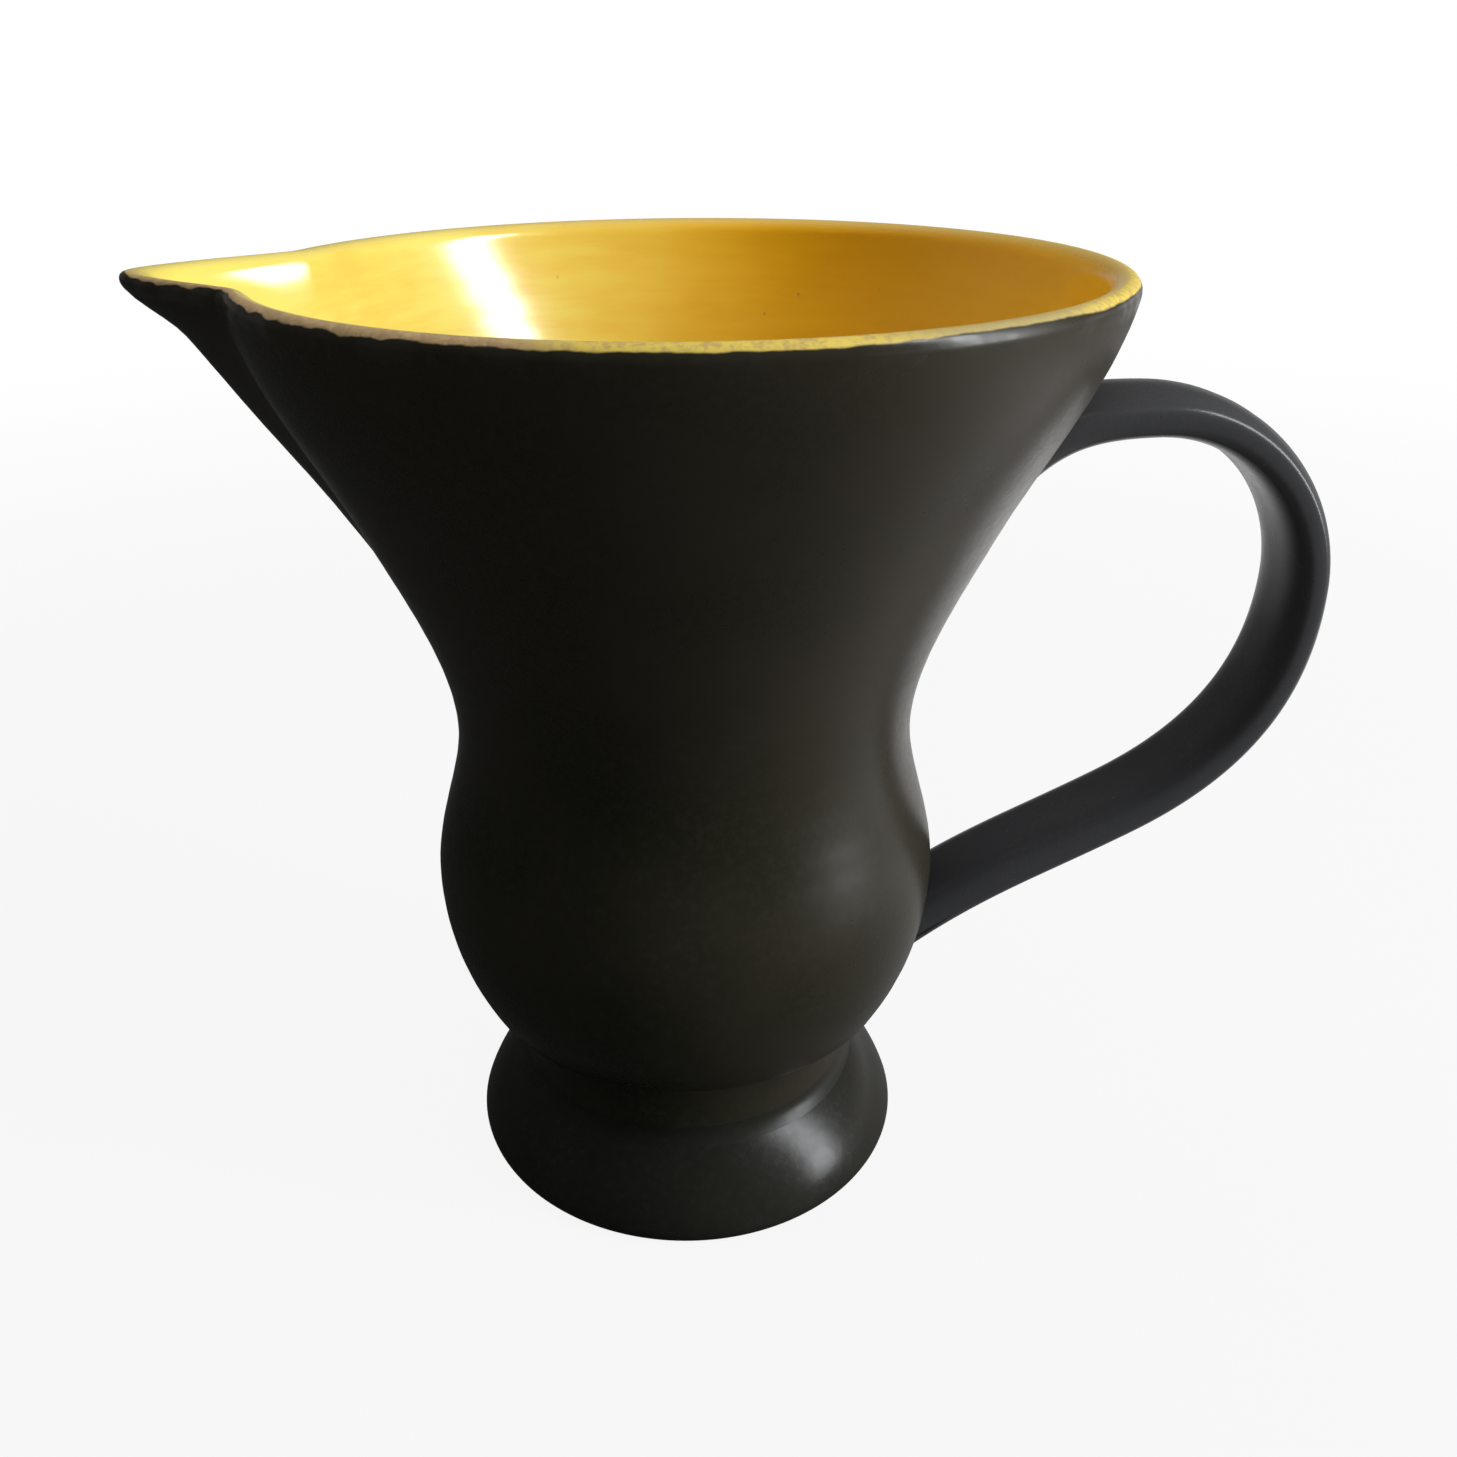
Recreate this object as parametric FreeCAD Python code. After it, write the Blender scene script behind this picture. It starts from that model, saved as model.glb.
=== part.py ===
import FreeCAD, Part
import math
import os

from FreeCAD import Vector

# An oinochoe jug in fired clay: a domed foot, a round bowl drawn in to a waist, a flaring
# mouth with a beaked pouring spout, and one strap handle opposite the spout.
# Millimetres, +Z up. The origin is the centre of the resting plane. The handle points
# along +X and the spout along -X.

# Foot, a hollow pedestal ring
foot_base_radius = 40.0
foot_edge_radius = 41.8
foot_edge_height = 3.0
foot_dome_bulge = 1.3
foot_ring_width = 5.6
foot_top_width = 6.4
joint_height = 17.0
joint_radius = 31.9

# Outline of the jug, each rise measured from the station below it
neck_rise = 10.2
neck_radius = 31.3
shoulder_rise = 7.5
shoulder_radius = 40.4
shoulder_slope = 0.55
belly_rise = 25.4
belly_radius = 46.9
waist_rise = 29.4
waist_radius = 41.5
flare_rise = 40.3
flare_radius = 54.95
flare_slope = 0.465
rim_rise = 37.6
rim_radius = 72.2
rim_slope = 0.19

# Clay and glaze
wall = 4.3
floor_thickness = 6.6
inner_floor_radius = 21.0
glaze = 0.5
slip = 0.6
lip_height = 2.6
crest_land = 0.3

# Spout, a beak let into a notch in the mouth
spout_reach = 18.2
notch_depth = 66.0
notch_foot_half_width = 4.0
notch_rim_half_width = 21.6
beak_depth = 8.9
keel_foot_proud = 0.3
keel_mid_proud = 8.0
keel_mid_drop = 22.0
keel_neck_proud = 10.9
keel_foot_slope_share = 0.5
keel_neck_slope_share = 1.5
tip_depth = 1.2
nose_wall_share = 1.25
nose_round_share = 0.28
throat_pull_share = 0.36
throat_turn_share = 0.6

# Handle, a pulled strap
strap_root_width = 21.5
strap_middle_width = 19.0
strap_tail_width = 16.6
strap_root_thickness = 9.4
strap_middle_thickness = 7.4
strap_tail_thickness = 10.2
strap_square_share = 0.73
root_rise = 7.0
root_climb_degrees = 44.0
crown_rise = 7.9
crown_reach = 80.6
loop_reach = 112.0
loop_rise = 22.0
elbow_rise = 6.6
elbow_reach = 83.6
elbow_degrees = 29.0
tail_drop = 18.0
tail_degrees = 38.0
strap_bend_share = 0.39
sections_per_span = 4
strap_sink = 5.0
bead_width = 1.2
bead_height = 1.8

# How far cutting bodies run past what they cut
overrun = 2.0

neck_height = joint_height + neck_rise
shoulder_height = neck_height + shoulder_rise
belly_height = shoulder_height + belly_rise
waist_height = belly_height + waist_rise
flare_height = waist_height + flare_rise
lip_foot_height = flare_height + rim_rise
rim_height = lip_foot_height + lip_height
notch_foot_height = rim_height - notch_depth
axis_up = Vector(0, 0, 1)
centre = Vector(0, 0, 0)


# Outline stations are (height, radius, slope), where slope is radius gained per height

def outline(depth, stations):
    """The stations moved inward by a depth measured square to the wall."""
    return [(z, r - depth * math.hypot(1, slope), slope) for z, r, slope in stations]


def span_poles(low, high):
    """The four poles of the smooth span between two stations."""
    z0, r0, slope0 = low
    z1, r1, slope1 = high
    third = (z1 - z0) / 3
    return [(r0, z0), (r0 + slope0 * third, z0 + third), (r1 - slope1 * third, z1 - third), (r1, z1)]


def radius_at(height, stations):
    """Radius of an outline at a height; past its ends it runs straight on."""
    z0, r0, slope0 = stations[0]
    z1, r1, slope1 = stations[-1]
    if height <= z0:
        return r0 + slope0 * (height - z0)
    if height >= z1:
        return r1 + slope1 * (height - z1)
    low, high = next(pair for pair in zip(stations, stations[1:]) if pair[1][0] >= height)
    t = (height - low[0]) / (high[0] - low[0])
    a, b, c, d = [r for r, z in span_poles(low, high)]
    return a * (1 - t) ** 3 + 3 * b * t * (1 - t) ** 2 + 3 * c * t ** 2 * (1 - t) + d * t ** 3


def bezier(points):
    """An edge through the first and last point, pulled towards those between."""
    curve = Part.BezierCurve()
    curve.setPoles(points)
    return curve.toShape()


def profile_edges(stations):
    return [bezier([Vector(r, 0, z) for r, z in span_poles(low, high)])
            for low, high in zip(stations, stations[1:])]


def segment(r0, z0, r1, z1):
    return Part.makeLine(Vector(r0, 0, z0), Vector(r1, 0, z1))


def turned(edges):
    """A solid turned about the jug's axis from the closed outline of a section."""
    wire = Part.Wire(Part.__sortEdges__(edges))
    return Part.Face(wire).revolve(centre, axis_up, 360)


# The outlines of the clay outside, the clay inside and the glaze inside

bowl_outside = [
    (joint_height, joint_radius, 0),
    (neck_height, neck_radius, 0),
    (shoulder_height, shoulder_radius, shoulder_slope),
    (belly_height, belly_radius, 0),
    (waist_height, waist_radius, 0),
]
mouth_outside = [
    (waist_height, waist_radius, 0),
    (flare_height, flare_radius, flare_slope),
    (lip_foot_height, rim_radius, rim_slope),
]
clay_inside = outline(wall, mouth_outside)
glaze_inside = outline(wall + glaze, mouth_outside)
rim_thickness = rim_radius - glaze_inside[-1][1]
crest_radius = rim_radius - rim_thickness / 2


def lip_edge(radius, top_radius, top_height):
    """The quarter round that rolls from a wall face over to the crest of the lip."""
    pull = 4 / 3 * (math.sqrt(2) - 1)
    rise = top_height - lip_foot_height
    return bezier([
        Vector(radius, 0, lip_foot_height),
        Vector(radius + rim_slope * rise * pull, 0, lip_foot_height + rise * pull),
        Vector(top_radius + (radius - top_radius) * pull, 0, top_height),
        Vector(top_radius, 0, top_height),
    ])


def mouth_band():
    """The flaring clay wall all round, before the notch is cut for the spout."""
    outer_crest = crest_radius + crest_land / 2
    step_height = rim_height - glaze
    edges = profile_edges(mouth_outside) + profile_edges(clay_inside)
    edges.append(lip_edge(rim_radius, outer_crest, rim_height))
    edges.append(segment(outer_crest, rim_height, crest_radius, rim_height))
    edges.append(segment(crest_radius, rim_height, crest_radius, step_height))
    edges.append(lip_edge(clay_inside[-1][1], crest_radius, step_height))
    edges.append(segment(clay_inside[0][1], waist_height, waist_radius, waist_height))
    return turned(edges)


def mouth_glaze_band():
    """The inner glaze of the mouth all round, up over the inner half of the lip."""
    inner_crest = crest_radius - crest_land / 2
    step_height = rim_height - glaze
    edges = profile_edges(clay_inside) + profile_edges(glaze_inside)
    edges.append(lip_edge(clay_inside[-1][1], crest_radius, step_height))
    edges.append(segment(crest_radius, step_height, crest_radius, rim_height))
    edges.append(segment(crest_radius, rim_height, inner_crest, rim_height))
    edges.append(lip_edge(glaze_inside[-1][1], inner_crest, rim_height))
    edges.append(segment(clay_inside[0][1], waist_height, glaze_inside[0][1], waist_height))
    return turned(edges)


def bowl_hollow_edges(depth):
    """The bowl's inside at a depth from its outside: the wall, then a dished floor."""
    stations = outline(depth, bowl_outside[2:])
    shoulder_z, shoulder_r, slope = stations[0]
    floor_z = joint_height + floor_thickness + depth - wall
    floor_r = inner_floor_radius
    pull = (shoulder_r - floor_r) / 2
    drop = (shoulder_z - floor_z) / 2
    dish = bezier([
        Vector(floor_r, 0, floor_z),
        Vector(floor_r + pull, 0, floor_z),
        Vector(shoulder_r - slope * drop, 0, shoulder_z - drop),
        Vector(shoulder_r, 0, shoulder_z),
    ])
    return [segment(0, floor_z, floor_r, floor_z), dish] + profile_edges(stations)


def bowl():
    """The clay bowl: neck, shoulder, belly and waist, with its floor."""
    inner_waist = clay_inside[0][1]
    floor_z = joint_height + floor_thickness
    edges = profile_edges(bowl_outside) + bowl_hollow_edges(wall)
    edges.append(segment(inner_waist, waist_height, waist_radius, waist_height))
    edges.append(segment(0, joint_height, joint_radius, joint_height))
    edges.append(segment(0, joint_height, 0, floor_z))
    return turned(edges)


def bowl_glaze():
    """The glaze coat that lines the bowl up to the waist."""
    floor_z = joint_height + floor_thickness
    edges = bowl_hollow_edges(wall) + bowl_hollow_edges(wall + glaze)
    edges.append(segment(clay_inside[0][1], waist_height, glaze_inside[0][1], waist_height))
    edges.append(segment(0, floor_z, 0, floor_z + glaze))
    return turned(edges)


def foot():
    """The domed pedestal ring, open underneath."""
    top = joint_height - slip
    outer_low = Vector(foot_edge_radius, 0, foot_edge_height)
    outer_top = Vector(joint_radius, 0, top)
    chord = outer_top - outer_low
    square_out = Vector(chord.z, 0, -chord.x).normalize()
    dome_middle = outer_low + chord * 0.5 + square_out * foot_dome_bulge
    roll = (foot_edge_radius - foot_base_radius) / 4
    edge_middle = Vector(foot_edge_radius - roll, 0, foot_edge_height / 4)
    base_in = foot_base_radius - foot_ring_width
    top_in = joint_radius - foot_top_width
    dome = Part.Arc(outer_low, dome_middle, outer_top).toShape()
    edge = Part.Arc(outer_low, edge_middle, Vector(foot_base_radius, 0, 0)).toShape()
    edges = [dome, edge]
    edges.append(segment(foot_base_radius, 0, base_in, 0))
    edges.append(segment(base_in, 0, top_in, top))
    edges.append(segment(top_in, top, joint_radius, top))
    return turned(edges)


def foot_seam_slip():
    """The slip that lutes the foot ring to the underside of the bowl."""
    top_in = joint_radius - foot_top_width
    low = joint_height - slip
    corners = [(top_in, low), (joint_radius, low), (joint_radius, joint_height), (top_in, joint_height)]
    edges = [segment(*a, *b) for a, b in zip(corners, corners[1:] + corners[:1])]
    return turned(edges)


# Spout

def notch_half_width(height):
    """Half the width of the notch, which widens evenly from its foot to the rim."""
    widening = (notch_rim_half_width - notch_foot_half_width) / notch_depth
    return notch_foot_half_width + widening * (height - notch_foot_height)


def notch_prism(growth):
    """The space of the notch, grown on all its sides, open above and ahead."""
    low = notch_foot_height - growth
    high = rim_height + overrun
    half_low = notch_half_width(low) + growth
    half_high = notch_half_width(high) + growth
    corners = [(-half_low, low), (half_low, low), (half_high, high), (-half_high, high)]
    outline_wire = Part.makePolygon([Vector(0, y, z) for y, z in corners + corners[:1]])
    length = rim_radius + spout_reach + overrun
    return Part.Face(outline_wire).extrude(Vector(-length, 0, 0))


def keel_stations():
    """How far the keel of the beak stands proud of the round wall, by height."""
    mid_height = rim_height - keel_mid_drop
    tip_height = rim_height - tip_depth
    throat_height = tip_height - beak_depth
    foot_slope = (keel_mid_proud - keel_foot_proud) / (mid_height - notch_foot_height)
    neck_slope = (keel_neck_proud - keel_mid_proud) / (throat_height - mid_height)
    return [
        (notch_foot_height, keel_foot_proud, foot_slope * keel_foot_slope_share),
        (mid_height, keel_mid_proud, foot_slope),
        (throat_height, keel_neck_proud, neck_slope * keel_neck_slope_share),
        (tip_height, spout_reach, 0),
    ]


def beak_section(height, depth, growth):
    """A level section through the beak at a depth from its outside, closed behind.

    Growth carries the closed part past the sides and the back of the notch."""
    half = notch_half_width(height)
    wall_slope = (radius_at(height, mouth_outside) - radius_at(height - overrun, mouth_outside)) / overrun
    round_radius = radius_at(height, mouth_outside) - depth * math.hypot(1, wall_slope)
    nose_x = -radius_at(height, mouth_outside) - radius_at(height, keel_stations()) + depth * nose_wall_share
    throat = Vector(-math.sqrt(round_radius ** 2 - half ** 2), half, height)
    nose = Vector(nose_x, 0, height)
    along_wall = Vector(-throat.y, throat.x, 0).normalize()
    towards_nose = (nose - throat).normalize()
    leave = (along_wall * (1 - throat_turn_share) + towards_nose * throat_turn_share).normalize()
    pull = throat_pull_share * (nose - throat).Length
    throat_pole = throat + leave * pull
    nose_pole = nose + Vector(0, nose_round_share * half, 0)
    side = half + overrun + growth
    wing = Vector(-math.sqrt(round_radius ** 2 - side ** 2), side, height)
    back = Vector(growth - waist_radius / 2, side, height)
    right = [wing, throat, throat_pole, nose_pole, nose]
    left = [Vector(p.x, -p.y, p.z) for p in right]
    back_left = Vector(back.x, -back.y, back.z)
    return Part.Wire([
        Part.makeLine(wing, throat),
        bezier([throat, throat_pole, nose_pole, nose]),
        bezier([nose, left[3], left[2], left[1]]),
        Part.makeLine(left[1], left[0]),
        Part.makeLine(left[0], back_left),
        Part.makeLine(back_left, back),
        Part.makeLine(back, wing),
    ])


def beak_plug(depth, crest_depth, top_height, growth):
    """The whole space inside one face of the beak, with its lip rolled to the crest."""
    low = notch_foot_height - overrun / 2 - growth
    body_steps = 9
    heights = [low + (lip_foot_height - low) * step / body_steps for step in range(body_steps + 1)]
    body = Part.makeLoft([beak_section(z, depth, growth) for z in heights], True, False)
    lip_steps = 4
    rise = top_height - lip_foot_height
    sections = []
    for step in range(lip_steps + 1):
        turn = math.pi / 2 * step / lip_steps
        lip_depth = depth + (crest_depth - depth) * (1 - math.cos(turn))
        sections.append(beak_section(lip_foot_height + rise * math.sin(turn), lip_depth, growth))
    if growth:
        sections.append(beak_section(rim_height + growth, crest_depth, growth))
    lip = Part.makeLoft(sections, True, True)
    return body.fuse(lip)


def beak_shells():
    """The clay of the beak and the glaze inside it, both fitting the notch."""
    slope_factor = math.hypot(1, rim_slope)
    crest_depth = rim_thickness / 2 / slope_factor
    land = crest_land / 2 / slope_factor
    outside = beak_plug(0, crest_depth - land, rim_height, 0)
    clay_hollow = beak_plug(wall, crest_depth, rim_height - glaze, overrun / 2)
    glaze_hollow = beak_plug(wall + glaze, crest_depth + land, rim_height, overrun)
    notch = notch_prism(0)
    reach = rim_radius + spout_reach + overrun
    above = Part.makeBox(2 * reach, 2 * reach, 2 * overrun, Vector(-reach, -reach, rim_height))
    clay = outside.cut(clay_hollow).common(notch)
    coat = clay_hollow.cut(glaze_hollow).common(notch).cut(above)
    return clay, coat


# Handle

def strap_path():
    """Stations of the strap's centre line: x, z and the heading in degrees."""
    root_height = flare_height + root_rise
    tail_height = belly_height - tail_drop
    embed = wall / 2
    return [
        (radius_at(root_height, mouth_outside) - embed, root_height, root_climb_degrees),
        (crown_reach, root_height + crown_rise, 0),
        (loop_reach, waist_height + loop_rise, -90),
        (elbow_reach, belly_height + elbow_rise, elbow_degrees - 180),
        (radius_at(tail_height, bowl_outside) - embed, tail_height, tail_degrees - 180),
    ]


def strap_span(start, end):
    """The four poles of the centre line between two stations."""
    first = Vector(start[0], 0, start[1])
    last = Vector(end[0], 0, end[1])
    pull = strap_bend_share * (last - first).Length
    ahead = Vector(math.cos(math.radians(start[2])), 0, math.sin(math.radians(start[2])))
    behind = Vector(math.cos(math.radians(end[2])), 0, math.sin(math.radians(end[2])))
    return [first, first + ahead * pull, last - behind * pull, last]


def strap_point(position):
    """A point of the centre line and its heading, counted in spans from the root.

    A position before the root or past the tail slides level into the wall."""
    stations = strap_path()
    spans = len(stations) - 1
    on_line = min(max(position, 0), spans)
    index = min(int(on_line), spans - 1)
    t = on_line - index
    a, b, c, d = strap_span(stations[index], stations[index + 1])
    point = a * (1 - t) ** 3 + b * 3 * t * (1 - t) ** 2 + c * 3 * t ** 2 * (1 - t) + d * t ** 3
    heading = (b - a) * (1 - t) ** 2 + (c - b) * 2 * t * (1 - t) + (d - c) * t ** 2
    sunk = Vector(strap_sink * abs(position - on_line), 0, 0)
    return point - sunk, heading.normalize()


def eased(position, root, middle, tail):
    """A size of the strap that changes evenly from the root to the loop to the tail."""
    share = position / 2
    return root + (middle - root) * share if share <= 1 else middle + (tail - middle) * (share - 1)


def strap_section(position, growth):
    """The squarish oval section of the strap, grown on all sides for a slip bead."""
    point, heading = strap_point(position)
    half_width = eased(position, strap_root_width, strap_middle_width, strap_tail_width) / 2 + growth
    thickness = eased(position, strap_root_thickness, strap_middle_thickness, strap_tail_thickness)
    side = Vector(0, half_width, 0)
    face = Vector(-heading.z, 0, heading.x) * (thickness / 2 + growth)
    share = strap_square_share
    quarters = []
    for a, b in ((side, face), (face, side * -1), (side * -1, face * -1), (face * -1, side)):
        quarters.append(bezier([point + a, point + a + b * share, point + b + a * share, point + b]))
    return Part.Wire(quarters)


def strap(first, last, growth):
    """The strap between two positions along its centre line."""
    steps = round((last - first) * sections_per_span)
    positions = [first + (last - first) * step / steps for step in range(steps + 1)]
    return Part.makeLoft([strap_section(p, growth) for p in positions], True, False)


def jug_block():
    """The jug's outside as one filled body, for trimming what meets it."""
    edges = profile_edges(bowl_outside) + profile_edges(mouth_outside)
    edges.append(segment(0, joint_height, joint_radius, joint_height))
    edges.append(segment(0, lip_foot_height, rim_radius, lip_foot_height))
    edges.append(segment(0, joint_height, 0, lip_foot_height))
    return turned(edges)


def bead_layer():
    """A layer on the jug's outside, as high as the slip beads stand."""
    bowl_face = outline(-bead_height, bowl_outside)
    mouth_face = outline(-bead_height, mouth_outside)
    edges = profile_edges(bowl_face) + profile_edges(mouth_face)
    edges.append(segment(0, joint_height, bowl_face[0][1], joint_height))
    edges.append(segment(0, lip_foot_height, mouth_face[-1][1], lip_foot_height))
    edges.append(segment(0, joint_height, 0, lip_foot_height))
    return turned(edges).cut(jug_block())


def handle_pieces():
    """The strap cut to the wall, and the bead of slip round each of its ends."""
    block = jug_block()
    last = len(strap_path()) - 1
    bare = strap(-1, last + 1, 0)
    layer = bead_layer()
    top_bead = strap(-1, 1, bead_width).common(layer).cut(bare)
    tail_bead = strap(last - 1, last + 1, bead_width).common(layer).cut(bare)
    return bare.cut(block), top_bead, tail_bead


def save(name, shape):
    """Write one piece, kept as solids only."""
    solids = shape.Solids
    piece = solids[0] if len(solids) == 1 else Part.makeCompound(solids)
    piece.exportStep("parts/" + name + ".step")
    print(name, len(solids), "solid", "valid" if piece.isValid() else "NOT VALID", round(piece.Volume))


def main():
    os.makedirs("parts", exist_ok=True)
    band = mouth_band()
    notch = notch_prism(0)
    wide_notch = notch_prism(slip)
    beak_clay, beak_coat = beak_shells()
    strap_clay, top_bead, tail_bead = handle_pieces()
    save("foot", foot())
    save("foot_seam_slip", foot_seam_slip())
    save("bowl", bowl())
    save("flared_mouth", band.cut(wide_notch))
    save("pouring_spout", beak_clay)
    save("spout_seam_slip", band.common(wide_notch).cut(notch))
    save("handle", strap_clay)
    save("handle_root_slip", top_bead)
    save("handle_tail_slip", tail_bead)
    save("bowl_glaze", bowl_glaze())
    save("mouth_glaze", mouth_glaze_band().cut(notch))
    save("spout_glaze", beak_coat)


main()
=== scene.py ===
import math
import bpy
import numpy as np
from mathutils import Matrix, Vector


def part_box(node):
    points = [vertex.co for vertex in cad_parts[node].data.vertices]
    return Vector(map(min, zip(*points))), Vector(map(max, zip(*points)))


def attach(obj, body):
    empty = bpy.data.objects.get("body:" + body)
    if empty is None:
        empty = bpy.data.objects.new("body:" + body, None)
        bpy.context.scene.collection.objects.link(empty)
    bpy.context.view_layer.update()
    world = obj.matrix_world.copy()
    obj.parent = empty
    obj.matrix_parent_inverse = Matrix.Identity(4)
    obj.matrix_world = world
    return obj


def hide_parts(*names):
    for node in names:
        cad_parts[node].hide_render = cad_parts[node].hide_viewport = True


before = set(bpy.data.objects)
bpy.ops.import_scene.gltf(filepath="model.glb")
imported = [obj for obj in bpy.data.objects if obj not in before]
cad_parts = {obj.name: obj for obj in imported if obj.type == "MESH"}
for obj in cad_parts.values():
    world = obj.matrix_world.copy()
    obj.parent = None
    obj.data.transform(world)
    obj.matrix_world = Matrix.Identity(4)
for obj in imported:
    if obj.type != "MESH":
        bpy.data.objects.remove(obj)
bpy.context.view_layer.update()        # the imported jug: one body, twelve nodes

mm = 0.001
up = np.array([0.0, 0.0, 1.0])
print("frame loaded:", len(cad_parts), "nodes")


# Where the photograph was taken from, and how it is framed
cameraPlace = dict(
    turnDegrees=2.5,          # the jug stands turned by this much in the photograph
    distance=228.97 * mm,     # level distance from the jug's axis
    height=199.325 * mm,
    pitch=0.398,              # radians below level
    roll=-0.008,
    focalPixels=1362,
    imagePixels=1457,
    middlePixels=(683.7, 639.8),
    sensor=36.0,
    nearest=10 * mm,          # nothing nearer than this is drawn
)


def addObject(name, data):
    holder = bpy.data.objects.new(name, data)
    bpy.context.scene.collection.objects.link(holder)
    return holder


def placeCamera(place):
    turn = math.radians(place["turnDegrees"])
    ahead = Vector((math.sin(turn), math.cos(turn), 0))
    level = Vector((math.cos(turn), -math.sin(turn), 0))
    high = Vector((0, 0, 1))
    look = ahead * math.cos(place["pitch"]) - high * math.sin(place["pitch"])
    head = ahead * math.sin(place["pitch"]) + high * math.cos(place["pitch"])
    side = level * math.cos(place["roll"]) + head * math.sin(place["roll"])
    head = head * math.cos(place["roll"]) - level * math.sin(place["roll"])
    spot = -ahead * place["distance"] + high * place["height"]
    camera = bpy.data.cameras.new("photoCamera")
    camera.sensor_width = place["sensor"]
    camera.lens = place["focalPixels"] / place["imagePixels"] * place["sensor"]
    half = place["imagePixels"] / 2
    camera.shift_x = (half - place["middlePixels"][0]) / place["imagePixels"]
    camera.shift_y = (place["middlePixels"][1] - half) / place["imagePixels"]
    camera.clip_start = place["nearest"]
    holder = addObject("photoCamera", camera)
    holder.matrix_world = Matrix((
        (side.x, head.x, -look.x, spot.x),
        (side.y, head.y, -look.y, spot.y),
        (side.z, head.z, -look.z, spot.z),
        (0, 0, 0, 1),
    ))
    bpy.context.scene.camera = holder


placeCamera(cameraPlace)
print("camera placed")


# Shader sums: a signal is a socket that can stand in an expression
class Signal:
    def __init__(self, paint, socket):
        self.paint = paint
        self.socket = socket

    def maths(self, operation, first, second):
        return self.paint.node("ShaderNodeMath", dict(operation=operation), first, second)

    def __add__(self, other):
        return self.maths("ADD", self, other)

    def __radd__(self, other):
        return self.maths("ADD", other, self)

    def __sub__(self, other):
        return self.maths("SUBTRACT", self, other)

    def __rsub__(self, other):
        return self.maths("SUBTRACT", other, self)

    def __mul__(self, other):
        return self.maths("MULTIPLY", self, other)

    def __rmul__(self, other):
        return self.maths("MULTIPLY", other, self)

    def atLeast(self, other):
        return self.maths("MAXIMUM", self, other)

    def rise(self, low, high):                       # smoothly 0 below low, 1 above high
        settings = dict(interpolation_type="SMOOTHSTEP")
        return self.paint.node("ShaderNodeMapRange", settings, self, low, high, 0.0, 1.0)


class Paint:
    def __init__(self, tree):
        self.tree = tree
        tree.nodes.clear()

    def node(self, kind, settings, *values, pick=0, **named):
        made = self.tree.nodes.new(kind)
        for key, value in settings.items():
            setattr(made, key, value)
        worded = {key.replace("_", " "): value for key, value in named.items()}
        for key, value in [*enumerate(values), *worded.items()]:
            self.feed(made.inputs[key], value)
        return Signal(self, made.outputs[pick]) if made.outputs else made

    def feed(self, socket, value):
        if isinstance(value, Signal):
            self.tree.links.new(value.socket, socket)
        else:
            socket.default_value = value

    def blend(self, share, low, high):               # colours through Mix
        made = self.tree.nodes.new("ShaderNodeMix")
        made.data_type = "RGBA"
        self.feed(made.inputs[0], share)
        for socket, value in ((made.inputs[6], low), (made.inputs[7], high)):
            self.feed(socket, (*value, 1) if isinstance(value, tuple) else value)
        return Signal(self, made.outputs[2])

    def stretched(self, place, scale):               # a place multiplied along each axis
        return self.node("ShaderNodeVectorMath", dict(operation="MULTIPLY"), place, scale)

    def speckle(self, place, size, detail=2.0, roughness=0.5):
        return self.node("ShaderNodeTexNoise", dict(), Vector=place, Scale=1 / size,
                         Detail=detail, Roughness=roughness)

    def attribute(self, name):
        return self.node("ShaderNodeAttribute", dict(attribute_name=name), pick=2)

    def place(self):
        return self.node("ShaderNodeTexCoord", dict(), pick=3)

    def part(self, place, axis):                     # 0 across, 1 towards the back, 2 up
        return self.node("ShaderNodeSeparateXYZ", dict(), place, pick=axis)

    def towards(self, place, side):                  # how far a place lies towards a side
        return self.node("ShaderNodeVectorMath", dict(operation="DOT_PRODUCT"), place, side, pick=1)

    def rays(self):                                  # rays that see plain white, and glossy ones
        camera, glossy, through = (self.node("ShaderNodeLightPath", dict(), pick=n) for n in (0, 3, 6))
        return camera.atLeast(through), glossy

    def finishWith(self, shader):
        self.node("ShaderNodeOutputMaterial", dict(), shader)

    def fire(self, coat, colour, rough, wet, height, **more):
        bump = self.node("ShaderNodeBump", dict(), Strength=coat["bumpStrength"],
                         Distance=coat["bumpDepth"], Height=height)
        shader = self.node("ShaderNodeBsdfPrincipled", dict(), Base_Color=colour, Roughness=rough,
                           Coat_Weight=wet, Coat_Roughness=coat["wetRoughness"], Normal=bump, **more)
        self.finishWith(shader)


def newPaint(name):
    material = bpy.data.materials.new(name)
    material.use_nodes = True
    return material, Paint(material.node_tree)


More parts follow.
